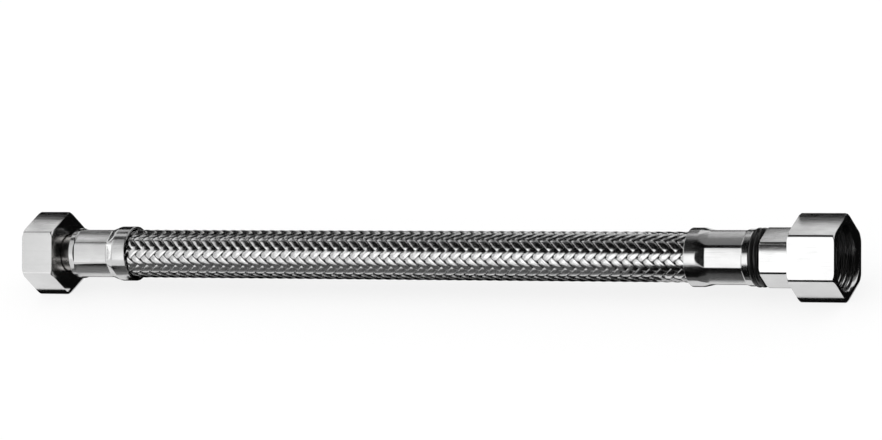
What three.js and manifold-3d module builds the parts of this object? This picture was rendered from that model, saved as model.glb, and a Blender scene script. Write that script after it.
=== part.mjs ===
// Flexible connecting hose for taps and heating. A rubber hose runs inside a woven steel braid,
// an octagonally crimped ferrule holds it on a barbed nipple at each end, and each end has a
// union nut. The right end also swivels behind its nut. Millimetres, hose along X, floor at z = 0.
import * as THREE from 'three';
import { mergeVertices } from 'three/addons/utils/BufferGeometryUtils.js';
import Module from 'manifold-3d';

const wasm = await Module();
wasm.setup();

// Clearances
const GAP = 0.3; // between pieces that nest or run in each other
const THREAD_FIT = 0.1; // between the screwed spigot and the collar
const SEAL_FIT = 0.1; // between a sealing ring and its groove or bore
const SAME = 0.001; // two lengths closer than this are the same length

// Hose
const HOSE_SHOWN = 156.8; // braid that shows between the two ferrules
const HOSE_BORE = 8;
const BRAID_OUTSIDE = 12.6;
const BRAID_RELIEF = 0.35; // from the crest of a strand to the valley beside it
const BRAID_WALL = 0.3; // wires under the valleys
const BRAID_CARRIERS = 28; // strands, half of them wound each way
const BRAID_ANGLE = 45; // degrees between a strand and the hose axis
const BORDER_SHARE = 0.33; // height of a strand on the border of two stripes, as a share of the relief

// Nipples
const BARB_RELIEF = 0.25;
const BARB_COUNT = 4;
const BARB_RISE = 0.75; // share of a barb's length over which it rises
const BARB_DROP = 0.8; // share of its length at which it is back at the root
const TAIL_WALL = 0.45; // metal under the roots of the barbs
const TAIL_SETBACK = 1; // from the ferrule's open edge to the tip of the tail
const FLANGE_THICKNESS = 2;
const LEFT_NECK = 9.6;
const LEFT_NECK_SHOWN = 3.2; // neck that shows between nut and ferrule

// Ferrules: the bead is the open edge on the hose side, the end band is the last stretch by the lip
const SLEEVE_WALL = 0.6;
const LIP_THICKNESS = 1;
const EDGE_ROUND = 0.35;
const LEFT_BEAD = 3.9;
const LEFT_BEAD_GAP = 0.2; // between the braid's crests and the bead
const LEFT_SLOPE = 2;
const LEFT_CRIMP = 9.7;
const LEFT_END_BAND = 1.6;
const LEFT_SQUEEZED = 0.7; // rubber left under the crimp
const RIGHT_BEAD = 3;
const RIGHT_BEAD_GAP = 0.4;
const RIGHT_SLOPE = 2.4;
const RIGHT_CRIMP = 9.5;
const RIGHT_END_BAND = 1.9;
const RIGHT_SQUEEZED = 1.2;
const CRIMP_SIDES = 8;
const CRIMP_TURN = 30; // degrees that a crimped flat leans up from the horizontal
const RIDGE_RISE = 1.05; // radius of the ridges between the jaws over that of the crimped flats
const JAW_RELIEF = 1.2; // rise over run of the jaws at the end band
const SLOPE_ROWS = 2; // facets along the slope from the bead to the crimp

// Hexagons
const HEX_SIDES = 6;
const HEX_STEP = (2 * Math.PI) / HEX_SIDES;

// Union nuts, G 3/8
const NUT_FLATS = 19;
const NUT_WALL = 2.5; // end wall that pulls on the flange
const THREAD_MINOR = 14.95;
const THREAD_MAJOR = 16.66;
const THREAD_UNDERCUT = 1.2;
const MOUTH_CHAMFER = 0.9;
const LEFT_NUT_LENGTH = 9;
const RIGHT_NUT_LENGTH = 12.1;
const CORNER_EASE = 0.6; // metal that the end chamfer takes off a corner, across the radius

// Washers
const WASHER_THICKNESS = 2;
const WASHER_BORE = 7;

// Swivel
const RING_WIDTH = 2.4;
const RING_OUTSIDE = 14.6;
const RING_ROUND = 0.4;
const COLLAR_FLATS = 13;
const COLLAR_LENGTH = 8;
const COLLAR_EASE = 0.3;
const COLLAR_LIP = 1.2;
const JOURNAL_WALL = 0.9;
const STOP_FLANGE = 1.4;
const PILOT_WALL = 1.1;
const GROOVE_DEPTH = 0.65;
const GROOVE_SPARE = 0.3; // groove width over the section of its sealing ring
const PILOT_LAND = 0.6; // metal before, between and after the two grooves
const SPIGOT_WALL = 0.8;
const SWIVEL_SEALS = 2;

// Facets
const OUTER_SIDES = 48;
const NUT_SIDES = 36;
const INNER_SIDES = 20;
const SEAL_SIDES = 6;

// Sizes that follow from the driving ones
const AXIS_HEIGHT = NUT_FLATS / 2;
const BRAID_RADIUS = BRAID_OUTSIDE / 2;
const BRAID_VALLEY = BRAID_RADIUS - BRAID_RELIEF;
const BRAID_BORE = BRAID_VALLEY - BRAID_WALL;
const STRIPES = BRAID_CARRIERS / 2;
const BRAID_PITCH =
  (4 * Math.PI * BRAID_RADIUS) / (BRAID_CARRIERS * Math.tan(THREE.MathUtils.degToRad(BRAID_ANGLE)));
const TAIL_RADIUS = HOSE_BORE / 2 - GAP;
const TAIL_ROOT = TAIL_RADIUS - BARB_RELIEF;
const WATER_RADIUS = TAIL_ROOT - TAIL_WALL;
const FLANGE_RADIUS = THREAD_MINOR / 2 - GAP;
const JOURNAL_RADIUS = WATER_RADIUS + JOURNAL_WALL;
const PILOT_RADIUS = WATER_RADIUS + PILOT_WALL;
const SEAT_BORE = PILOT_RADIUS + GAP;
const SPIGOT_RADIUS = SEAT_BORE + SPIGOT_WALL;
const COLLAR_BORE = SPIGOT_RADIUS + THREAD_FIT;
const GROOVE_FLOOR = PILOT_RADIUS - GROOVE_DEPTH;
const SEAL_SECTION = SEAT_BORE - GROOVE_FLOOR - 2 * SEAL_FIT;
const GROOVE_WIDTH = SEAL_SECTION + GROOVE_SPARE;

const LEFT_FERRULE = {
  bead: LEFT_BEAD, beadGap: LEFT_BEAD_GAP, slope: LEFT_SLOPE, crimp: LEFT_CRIMP,
  endBand: LEFT_END_BAND, squeezed: LEFT_SQUEEZED,
};
const RIGHT_FERRULE = {
  bead: RIGHT_BEAD, beadGap: RIGHT_BEAD_GAP, slope: RIGHT_SLOPE, crimp: RIGHT_CRIMP,
  endBand: RIGHT_END_BAND, squeezed: RIGHT_SQUEEZED,
};

// Each end is a stack measured outwards from the open edge of its ferrule.
const leftStack = stackLeft();
const rightStack = stackRight();
const TOTAL_LENGTH = leftStack.nutEnd + HOSE_SHOWN + rightStack.nutEnd;
const LEFT = { side: -1, edge: leftStack.nutEnd - TOTAL_LENGTH / 2 };
const RIGHT = { side: 1, edge: TOTAL_LENGTH / 2 - rightStack.nutEnd };
const HOSE_MIDDLE = (LEFT.edge + RIGHT.edge) / 2;

function ferruleStack(ferrule) {
  const slopeStart = ferrule.bead;
  const crimpStart = slopeStart + ferrule.slope;
  const crimpEnd = crimpStart + ferrule.crimp;
  const ferruleEnd = crimpEnd + ferrule.endBand;
  const lipStart = ferruleEnd - LIP_THICKNESS;
  return { slopeStart, crimpStart, crimpEnd, lipStart, ferruleEnd, hoseEnd: lipStart - GAP };
}

function nutStack(nutStart, nutLength) {
  const flangeStart = nutStart + NUT_WALL + GAP;
  const flangeEnd = flangeStart + FLANGE_THICKNESS;
  return { nutStart, flangeStart, flangeEnd, nutEnd: nutStart + nutLength };
}

function stackLeft() {
  const ferrule = ferruleStack(LEFT_FERRULE);
  return { ...ferrule, ...nutStack(ferrule.ferruleEnd + LEFT_NECK_SHOWN, LEFT_NUT_LENGTH) };
}

function stackRight() {
  const ferrule = ferruleStack(RIGHT_FERRULE);
  const ringEnd = ferrule.ferruleEnd + RING_WIDTH;
  const collarStart = ringEnd + GAP;
  const stopStart = collarStart + COLLAR_LIP + GAP;
  const stopEnd = stopStart + STOP_FLANGE;
  const pilotEnd = stopEnd + GAP + SWIVEL_SEALS * (PILOT_LAND + GROOVE_WIDTH) + PILOT_LAND;
  const collarEnd = collarStart + COLLAR_LENGTH;
  return {
    ...ferrule, ringEnd, collarStart, stopStart, stopEnd, pilotEnd, collarEnd,
    ...nutStack(collarEnd + GAP, RIGHT_NUT_LENGTH),
  };
}

// One welded body, without the seams that carry normals and texture coordinates.
function weld(geometry) {
  geometry.deleteAttribute('normal');
  geometry.deleteAttribute('uv');
  return mergeVertices(geometry);
}

// A profile of [x, radius] pairs, turned about the X axis. It closes on itself or ends on the axis.
function turned(profile, sides) {
  const points = profile.map(([x, radius]) => new THREE.Vector2(radius, x));
  return weld(new THREE.LatheGeometry(points, sides)).rotateZ(-Math.PI / 2);
}

// The wall of a tube, given outwards from one end: the outside one way and the bore back.
function turnedTube(outside, bore, sides) {
  const profile = [...outside, ...[...bore].reverse()];
  return turned([...profile, profile[0]], sides);
}

function solidOf(geometry) {
  return new wasm.Manifold(new wasm.Mesh({
    numProp: 3,
    vertProperties: new Float32Array(geometry.attributes.position.array),
    triVerts: new Uint32Array(geometry.index.array),
  }));
}

function geometryOf(solid) {
  const mesh = solid.getMesh();
  const geometry = new THREE.BufferGeometry();
  geometry.setAttribute('position', new THREE.BufferAttribute(new Float32Array(mesh.vertProperties), 3));
  geometry.setIndex(new THREE.BufferAttribute(new Uint32Array(mesh.triVerts), 1));
  return geometry;
}

// Moves each vertex along its radius: newRadius is given the angle about X, the place and the radius.
function reshape(geometry, newRadius) {
  const position = geometry.attributes.position;
  for (let i = 0; i < position.count; i += 1) {
    const radius = Math.hypot(position.getY(i), position.getZ(i));
    const angle = Math.atan2(position.getZ(i), position.getY(i));
    const factor = newRadius(angle, position.getX(i), radius) / radius;
    position.setXYZ(i, position.getX(i), position.getY(i) * factor, position.getZ(i) * factor);
  }
  return geometry;
}

// A hexagonal bar with its corners eased at both ends, one flat down, from x = 0.
function hexagonBar(flats, length, ease) {
  const corner = flats / 2 / Math.cos(HEX_STEP / 2);
  const corners = Array.from({ length: HEX_SIDES }, (_, i) => {
    const angle = (i + 0.5) * HEX_STEP;
    return new THREE.Vector2(corner * Math.cos(angle), corner * Math.sin(angle));
  });
  const bar = new THREE.ExtrudeGeometry(new THREE.Shape(corners), { depth: length, bevelEnabled: false });
  const slant = ease * Math.tan(HEX_STEP / 2);
  // The barrel's facets lie inside its circle, so it is turned a touch wider than the corners.
  const wide = 1 / Math.cos(Math.PI / NUT_SIDES);
  const barrel = turned([
    [0, 0], [0, (corner - ease) * wide], [slant, corner * wide], [length - slant, corner * wide],
    [length, (corner - ease) * wide], [length, 0],
  ], NUT_SIDES);
  return solidOf(weld(bar).rotateY(Math.PI / 2)).intersect(solidOf(barrel));
}

// Under a crimp everything is stacked on the tail: the squeezed rubber, the braid, then the sleeve.
function linerSqueezed(ferrule) {
  return TAIL_RADIUS + GAP + ferrule.squeezed;
}

function braidSqueezed(ferrule) {
  return linerSqueezed(ferrule) + GAP + BRAID_WALL;
}

function crimpedFlat(ferrule) {
  return braidSqueezed(ferrule) + GAP + SLEEVE_WALL;
}

// The liner of rubber: its own size in the open, squeezed under each crimp.
function linerProfile(stack, ferrule) {
  const squeezed = linerSqueezed(ferrule);
  return [[stack.slopeStart, BRAID_BORE - GAP], [stack.crimpStart, squeezed], [stack.hoseEnd, squeezed]];
}

// Both halves of a profile that runs from end to end of the hose, in the part's own X.
function endToEnd(profileOf) {
  const left = profileOf(leftStack, LEFT_FERRULE).map(([x, radius]) => [LEFT.edge - x, radius]);
  const right = profileOf(rightStack, RIGHT_FERRULE).map(([x, radius]) => [RIGHT.edge + x, radius]);
  return { left: left.reverse(), right };
}

function innerHose() {
  const { left, right } = endToEnd(linerProfile);
  const outside = [...left, ...right];
  const bore = [[left[0][0], HOSE_BORE / 2], [right.at(-1)[0], HOSE_BORE / 2]];
  return turnedTube(outside, bore, INNER_SIDES);
}

// Half a pitch a row and half a stripe a column. Every other stripe leans the other way, and the
// crests of neighbouring stripes are half a pitch apart, as two strands over and two under give it.
function steelBraid() {
  const row = BRAID_PITCH / 2;
  const rows = 2 * Math.floor((HOSE_SHOWN / 2 + GAP) / row);
  const places = Array.from({ length: rows + 1 }, (_, i) => HOSE_MIDDLE + (i - rows / 2) * row);
  const woven = places.map((x) => [x, BRAID_RADIUS]);
  const outer = endToEnd((stack, ferrule) => [
    [stack.slopeStart, BRAID_VALLEY], [stack.crimpStart, braidSqueezed(ferrule)],
    [stack.hoseEnd, braidSqueezed(ferrule)],
  ]);
  const inner = endToEnd((stack, ferrule) => [
    [stack.slopeStart, BRAID_BORE], [stack.crimpStart, braidSqueezed(ferrule) - BRAID_WALL],
    [stack.hoseEnd, braidSqueezed(ferrule) - BRAID_WALL],
  ]);
  const outside = [...outer.left, ...woven, ...outer.right];
  const bore = [...inner.left, ...inner.right];
  const geometry = turnedTube(outside, bore, BRAID_CARRIERS);
  leanStripes(geometry);
  return reshape(geometry, (angle, x, radius) => {
    if (BRAID_RADIUS - radius > SAME) return radius;
    const column = Math.round((angle / (2 * Math.PI)) * BRAID_CARRIERS + BRAID_CARRIERS);
    const place = Math.round((x - HOSE_MIDDLE) / row + rows / 2);
    if (column % 2 === 0) return BRAID_VALLEY + BRAID_RELIEF * BORDER_SHARE;
    return (place + (column - 1) / 2) % 2 === 0 ? BRAID_RADIUS : BRAID_VALLEY;
  });
}

// Turns the diagonals of every other stripe, so that the strands lean one way and then the other.
function leanStripes(geometry) {
  const position = geometry.attributes.position;
  const index = geometry.index;
  const columnOf = (i) => {
    const angle = Math.atan2(position.getZ(i), position.getY(i));
    return Math.round((angle / (2 * Math.PI)) * BRAID_CARRIERS + BRAID_CARRIERS) % BRAID_CARRIERS;
  };
  for (let i = 0; i < index.count; i += 6) {
    const quad = [0, 1, 2, 3].map((n) => index.getX(i + n));
    const columns = quad.map(columnOf);
    const first = columns.includes(0) && columns.includes(BRAID_CARRIERS - 1)
      ? BRAID_CARRIERS - 1 : Math.min(...columns);
    const [a, b, d, c] = quad;
    if (Math.floor(first / 2) % 2 === 0) [a, b, c, a, c, d].forEach((v, n) => index.setX(i + n, v));
  }
}

// A sleeve whose middle eight jaws have pressed into flats, with a ridge left between each two jaws.
function ferruleSleeve(stack, ferrule, neckRadius, end) {
  const bead = BRAID_RADIUS + ferrule.beadGap + SLEEVE_WALL;
  const ridge = crimpedFlat(ferrule) * RIDGE_RISE;
  const hole = neckRadius + GAP;
  const slope = Array.from({ length: SLOPE_ROWS + 1 }, (_, i) => [
    stack.slopeStart + (ferrule.slope * i) / SLOPE_ROWS, bead + ((ridge - bead) * i) / SLOPE_ROWS,
  ]);
  const outside = [
    [0, bead - EDGE_ROUND], [EDGE_ROUND, bead], ...slope, [stack.crimpEnd, ridge],
    [stack.crimpEnd + EDGE_ROUND, ridge], [stack.ferruleEnd - EDGE_ROUND, ridge],
    [stack.ferruleEnd, ridge - EDGE_ROUND],
  ];
  const bore = [
    [0, bead - SLEEVE_WALL], [stack.slopeStart, bead - SLEEVE_WALL],
    [stack.crimpStart, ridge - SLEEVE_WALL], [stack.lipStart, ridge - SLEEVE_WALL],
    [stack.lipStart, hole], [stack.ferruleEnd, hole],
  ];
  const sleeve = turnedTube(outside, bore, OUTER_SIDES);
  const press = (angle, x, radius) => radius - pressedBy(stack, ferrule, bead, end, angle, x);
  return atEnd(reshape(sleeve, press), end);
}

// How far the jaws push the sleeve in at a place: flat over the crimp, and rising at both of its ends.
function pressedBy(stack, ferrule, bead, end, angle, x) {
  const flat = crimpedFlat(ferrule);
  const step = (2 * Math.PI) / CRIMP_SIDES;
  const turn = THREE.MathUtils.degToRad(end.side < 0 ? CRIMP_TURN : 180 - CRIMP_TURN);
  const offFlat = Math.abs(((angle - turn) / step) - Math.round((angle - turn) / step)) * step;
  const leadIn = (Math.max(stack.crimpStart - x, 0) * (bead - flat)) / ferrule.slope;
  const leadOut = Math.max(x - stack.crimpEnd, 0) * JAW_RELIEF;
  const alongSlope = Math.min(Math.max((x - stack.slopeStart) / ferrule.slope, 0), 1);
  const sleeve = bead + (flat * RIDGE_RISE - bead) * alongSlope;
  return Math.max(sleeve - (flat + leadIn + leadOut) / Math.cos(offFlat), 0);
}

// Carries a piece built outwards from x = 0 to its end of the hose. The left one is turned about Z.
function atEnd(geometry, end) {
  if (end.side < 0) geometry.rotateZ(Math.PI);
  return geometry.translate(end.edge, 0, 0);
}

// Saw-tooth barbs between two places, rising away from the tip so that the hose slides on easily.
function barbs(from, to) {
  const length = (to - from) / BARB_COUNT;
  return Array.from({ length: BARB_COUNT }, (_, i) => [
    [from + i * length, TAIL_ROOT], [from + (i + BARB_RISE) * length, TAIL_RADIUS],
    [from + (i + BARB_DROP) * length, TAIL_ROOT],
  ]).flat();
}

function leftNipple() {
  const s = leftStack;
  const neck = LEFT_NECK / 2;
  const outside = [
    ...barbs(TAIL_SETBACK, s.hoseEnd), [s.lipStart, TAIL_ROOT], [s.lipStart, neck],
    [s.flangeStart, neck], [s.flangeStart, FLANGE_RADIUS], [s.flangeEnd, FLANGE_RADIUS],
  ];
  const bore = [[TAIL_SETBACK, WATER_RADIUS], [s.flangeEnd, WATER_RADIUS]];
  return atEnd(turnedTube(outside, bore, INNER_SIDES), LEFT);
}

// The places where the sealing rings' grooves start, outwards from the ferrule's edge.
function grooveStarts() {
  const first = rightStack.stopEnd + GAP + PILOT_LAND;
  return Array.from({ length: SWIVEL_SEALS }, (_, i) => first + i * (GROOVE_WIDTH + PILOT_LAND));
}

// Barbed tail, journal through ferrule, ring and collar, stop flange, and pilot with two grooves.
function rightNipple() {
  const s = rightStack;
  const grooves = grooveStarts().flatMap((start) => [
    [start, PILOT_RADIUS], [start, GROOVE_FLOOR],
    [start + GROOVE_WIDTH, GROOVE_FLOOR], [start + GROOVE_WIDTH, PILOT_RADIUS],
  ]);
  const outside = [
    ...barbs(TAIL_SETBACK, s.hoseEnd), [s.lipStart, TAIL_ROOT], [s.lipStart, JOURNAL_RADIUS],
    [s.stopStart, JOURNAL_RADIUS], [s.stopStart, COLLAR_BORE - GAP], [s.stopEnd, COLLAR_BORE - GAP],
    [s.stopEnd, PILOT_RADIUS], ...grooves, [s.pilotEnd, PILOT_RADIUS],
  ];
  const bore = [[TAIL_SETBACK, WATER_RADIUS], [s.pilotEnd, WATER_RADIUS]];
  return atEnd(turnedTube(outside, bore, INNER_SIDES), RIGHT);
}

function swivelSeal(start) {
  const middle = GROOVE_FLOOR + SEAL_FIT + SEAL_SECTION / 2;
  const ring = new THREE.TorusGeometry(middle, SEAL_SECTION / 2, SEAL_SIDES, INNER_SIDES);
  return atEnd(weld(ring).rotateY(Math.PI / 2).translate(start + GROOVE_WIDTH / 2, 0, 0), RIGHT);
}

function swivelRing() {
  const s = rightStack;
  const outer = RING_OUTSIDE / 2;
  const hole = JOURNAL_RADIUS + GAP;
  const outside = [
    [s.ferruleEnd, outer - RING_ROUND], [s.ferruleEnd + RING_ROUND, outer],
    [s.ringEnd - RING_ROUND, outer], [s.ringEnd, outer - RING_ROUND],
  ];
  return atEnd(turnedTube(outside, [[s.ferruleEnd, hole], [s.ringEnd, hole]], OUTER_SIDES), RIGHT);
}

// The hexagon that the spanner holds: a lip behind the stop flange, then the screwed bore.
function hexCollar() {
  const hole = JOURNAL_RADIUS + GAP;
  const bore = turned([
    [-GAP, 0], [-GAP, hole], [COLLAR_LIP, hole], [COLLAR_LIP, COLLAR_BORE],
    [COLLAR_LENGTH + GAP, COLLAR_BORE], [COLLAR_LENGTH + GAP, 0],
  ], INNER_SIDES);
  const collar = hexagonBar(COLLAR_FLATS, COLLAR_LENGTH, COLLAR_EASE).subtract(solidOf(bore));
  return atEnd(geometryOf(collar).translate(rightStack.collarStart, 0, 0), RIGHT);
}

// Screwed into the collar, with its neck through the nut and its flange inside it.
function seatNipple() {
  const s = rightStack;
  const start = s.stopEnd + GAP;
  const step = s.pilotEnd + GAP;
  const outside = [
    [start, SPIGOT_RADIUS], [s.flangeStart, SPIGOT_RADIUS], [s.flangeStart, FLANGE_RADIUS],
    [s.flangeEnd, FLANGE_RADIUS],
  ];
  const bore = [[start, SEAT_BORE], [step, SEAT_BORE], [step, WATER_RADIUS], [s.flangeEnd, WATER_RADIUS]];
  return atEnd(turnedTube(outside, bore, INNER_SIDES), RIGHT);
}

function washer(stack, end) {
  const from = stack.flangeEnd;
  const to = from + WASHER_THICKNESS;
  const outside = [[from, FLANGE_RADIUS], [to, FLANGE_RADIUS]];
  return atEnd(turnedTube(outside, [[from, WASHER_BORE / 2], [to, WASHER_BORE / 2]], INNER_SIDES), end);
}

// A union nut: a hole for the neck, an undercut, the thread's core and the chamfered mouth.
function unionNut(stack, length, neckRadius, end) {
  const hole = neckRadius + GAP;
  const core = THREAD_MINOR / 2;
  const major = THREAD_MAJOR / 2;
  const threadStart = NUT_WALL + THREAD_UNDERCUT;
  const bore = turned([
    [-GAP, 0], [-GAP, hole], [NUT_WALL, hole], [NUT_WALL, major], [threadStart, major],
    [threadStart, core], [length - MOUTH_CHAMFER, core],
    [length + GAP, core + MOUTH_CHAMFER + GAP], [length + GAP, 0],
  ], NUT_SIDES);
  const nut = hexagonBar(NUT_FLATS, length, CORNER_EASE).subtract(solidOf(bore));
  return atEnd(geometryOf(nut).translate(stack.nutStart, 0, 0), end);
}

// Materials, by what each piece is made of
const plated = () => new THREE.MeshStandardMaterial({ color: 0xc9cccf, roughness: 0.18, metalness: 1 });
const stainless = () => new THREE.MeshStandardMaterial({ color: 0xb9bcc0, roughness: 0.25, metalness: 1 });
const brass = () => new THREE.MeshStandardMaterial({ color: 0xb6b09a, roughness: 0.3, metalness: 1 });
const wire = () => new THREE.MeshStandardMaterial({ color: 0xa9adb2, roughness: 0.35, metalness: 1 });
const rubber = () => new THREE.MeshStandardMaterial({ color: 0x1b1b1c, roughness: 0.7, metalness: 0 });
const plastic = () => new THREE.MeshStandardMaterial({ color: 0x141416, roughness: 0.45, metalness: 0 });

const hose = new THREE.Group();
hose.position.z = AXIS_HEIGHT;

function add(name, geometry, material) {
  const mesh = new THREE.Mesh(geometry, material);
  mesh.name = name;
  hose.add(mesh);
}

add('inner_hose', innerHose(), rubber());
add('steel_braid', steelBraid(), wire());
add('left_ferrule', ferruleSleeve(leftStack, LEFT_FERRULE, LEFT_NECK / 2, LEFT), stainless());
add('left_nipple', leftNipple(), brass());
add('left_washer', washer(leftStack, LEFT), rubber());
add('left_nut', unionNut(leftStack, LEFT_NUT_LENGTH, LEFT_NECK / 2, LEFT), plated());
add('right_ferrule', ferruleSleeve(rightStack, RIGHT_FERRULE, JOURNAL_RADIUS, RIGHT), stainless());
add('right_nipple', rightNipple(), brass());
grooveStarts().forEach((start, i) => add(`swivel_seal_${i + 1}`, swivelSeal(start), rubber()));
add('swivel_ring', swivelRing(), plastic());
add('hex_collar', hexCollar(), plated());
add('seat_nipple', seatNipple(), brass());
add('right_washer', washer(rightStack, RIGHT), rubber());
add('right_nut', unionNut(rightStack, RIGHT_NUT_LENGTH, SPIGOT_RADIUS, RIGHT), plated());

export default hose;
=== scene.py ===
# %% [markdown]
# # A braided connecting hose with a swivelling end
#
# This lesson dresses a small plumbing part: a rubber hose in a woven steel braid, held at each end by a
# crimped ferrule, with a union nut at the left and a swivel with its own union nut at the right. The solids
# already exist and say where everything is. Here each one gets the fine surface and the finish of the real
# piece. Nearly all of it is turned metal, so one idea carries the lesson: a profile that may change with the
# angle, carried once round the hose's axis.

# %% Load the frame
import math

import bpy
import numpy as np
from mathutils import Matrix, Vector


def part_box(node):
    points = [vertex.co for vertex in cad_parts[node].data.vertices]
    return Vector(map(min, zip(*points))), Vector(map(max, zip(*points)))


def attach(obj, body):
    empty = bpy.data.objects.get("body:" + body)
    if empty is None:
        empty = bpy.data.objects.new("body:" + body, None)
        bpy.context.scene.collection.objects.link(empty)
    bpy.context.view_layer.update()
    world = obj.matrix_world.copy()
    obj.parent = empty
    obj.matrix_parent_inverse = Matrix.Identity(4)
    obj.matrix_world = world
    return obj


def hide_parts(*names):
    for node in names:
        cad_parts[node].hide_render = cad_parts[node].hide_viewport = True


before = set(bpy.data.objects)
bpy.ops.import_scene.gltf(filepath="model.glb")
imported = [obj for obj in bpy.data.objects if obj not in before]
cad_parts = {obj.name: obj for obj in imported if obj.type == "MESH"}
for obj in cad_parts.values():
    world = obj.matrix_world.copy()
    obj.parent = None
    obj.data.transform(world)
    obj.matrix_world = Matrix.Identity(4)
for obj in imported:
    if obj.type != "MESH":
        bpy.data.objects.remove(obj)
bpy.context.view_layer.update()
mm = 0.001
AXIS = (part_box("left_nut")[0].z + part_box("left_nut")[1].z) / 2
print(f"{len(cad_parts)} solids, hose axis {AXIS / mm:.1f} mm above the floor")

# %% [markdown]
# ## Camera
# The hose was seen from its right end, a little from above and from far away with a long lens. The view
# could be found by eye, but two facts fix it: the front flats of both nuts face the viewer squarely from
# above, 30 degrees up, and the end faces show as narrow shapes, which gives 25.8 degrees round to the
# right. The camera is built from these angles, and then slid in its own plane until the chosen point
# of the hose falls on its pixel, so that the lens needs no shift.

# %% Make the camera
IMAGE_WIDTH, IMAGE_HEIGHT = 882, 440
SENSOR = 36 * mm
ROUND_TO_RIGHT = math.radians(25.8)
FLAT_FACES_UP = math.radians(30)
ROLL = math.radians(0.13)
DISTANCE = 1.05
PIXELS_PER_METRE = 3970
AIM = Vector((4.65 * mm, 0, AXIS))
AIM_PIXEL = (442, 255.5)

away = Vector((math.sin(ROUND_TO_RIGHT), -math.cos(ROUND_TO_RIGHT) * math.cos(FLAT_FACES_UP),
               math.cos(ROUND_TO_RIGHT) * math.sin(FLAT_FACES_UP)))
across = (Vector((1, 0, 0)) - away * away.x).normalized()
upward = away.cross(across)
right = across * math.cos(ROLL) + upward * math.sin(ROLL)
up = upward * math.cos(ROLL) - across * math.sin(ROLL)
slide = (right * (IMAGE_WIDTH / 2 - AIM_PIXEL[0]) + up * (AIM_PIXEL[1] - IMAGE_HEIGHT / 2)) / PIXELS_PER_METRE

camera_data = bpy.data.cameras.new("camera")
camera_data.sensor_width = SENSOR / mm
camera_data.lens = PIXELS_PER_METRE * DISTANCE / IMAGE_WIDTH * SENSOR / mm
camera_data.clip_start, camera_data.clip_end = 0.05, 20
camera = bpy.data.objects.new("camera", camera_data)
camera.matrix_world = Matrix.LocRotScale(AIM + away * DISTANCE + slide, Matrix((right, up, away)).transposed(), None)
bpy.context.scene.collection.objects.link(camera)
bpy.context.scene.camera = camera
print(f"camera lens {camera_data.lens:.0f} mm")

# %% [markdown]
# ## From arrays to a piece
# Every piece starts as numpy arrays of points and faces. A small helper turns them into an object, shades it
# smooth, stores any per-point values that its finish needs, hangs it on the body it rides on and hides the
# solids it stands for.

# %% Make an object from arrays
def piece(name, points, faces, body, nodes, slot, **values):
    """One object from points (n, 3) and faces (m, corners), with a number for each point in each named value."""
    mesh = bpy.data.meshes.new(name)
    mesh.from_pydata(points.tolist(), [], faces if isinstance(faces, list) else faces.tolist())
    for title, numbers in values.items():
        mesh.attributes.new(title, "FLOAT", "POINT").data.foreach_set("value", numbers.astype(np.float32))
    mesh.shade_smooth()
    made = bpy.data.objects.new(name, mesh)
    bpy.context.scene.collection.objects.link(made)
    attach(made, body)
    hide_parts(*nodes)
    mesh.calc_loop_triangles()
    print(f"{name}: {len(mesh.loop_triangles)} triangles")
    return made


# %% [markdown]
# ## The braid
# A machine winds 28 strands round the hose, half of them each way, and each strand is a flat ribbon of seven
# fine wires laid side by side. Every strand passes over two of the others and then under two, so the
# floats line up into stripes along the hose, leaning one way in one stripe and the other way in the next.
# A bump map could fake this, but the silhouette and the dark gaps would be missing. Real strands cost little:
# a ribbon's section is 18 points, and its path is a helix whose radius rises and falls with the weave.
#
# With the strands at 45 degrees, strand i of one set and strand j of the other cross at the angle
# 2 pi (i + j) / 28, so counting crossings along a strand tells it when to be on top.

# %% Braid sizes
CARRIERS = 28
STRANDS = CARRIERS // 2
BRAID_LOW, BRAID_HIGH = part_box("steel_braid")
BEAD_LEFT, BEAD_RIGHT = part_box("left_ferrule")[1].x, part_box("right_ferrule")[0].x
BRAID_RADIUS = (BRAID_HIGH.z - BRAID_LOW.z) / 2
HOSE_RADIUS = 5.65 * mm
STRAND_ANGLE = math.radians(45)
STRIPE_BORDER = math.radians(158)
WIRES = 7
WIRE = 0.235 * mm
WIRE_ROOM = 0.55 * WIRE
WEAVE_STEEPNESS = 1.8
WEAVE_UNDER_CRIMP = 0.6
turn_per_metre = math.tan(STRAND_ANGLE) / BRAID_RADIUS
crossing = 2 * math.pi / CARRIERS / turn_per_metre
weave_lift = (BRAID_RADIUS - HOSE_RADIUS - 2 * WIRE_ROOM) / 2
weave_middle = HOSE_RADIUS + WIRE_ROOM + weave_lift
print(f"one braid pitch is {2 * crossing / mm:.2f} mm, a strand rises and falls {weave_lift / mm:.2f} mm")


# %% [markdown]
# ## The braid under the ferrules
# A ferrule is made of a round bead, a slope, the crimp and an end band. The braid lies open as far as the bead
# reaches, goes in along the slope and is squeezed by the crimp, so these lengths are needed here already.

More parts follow.
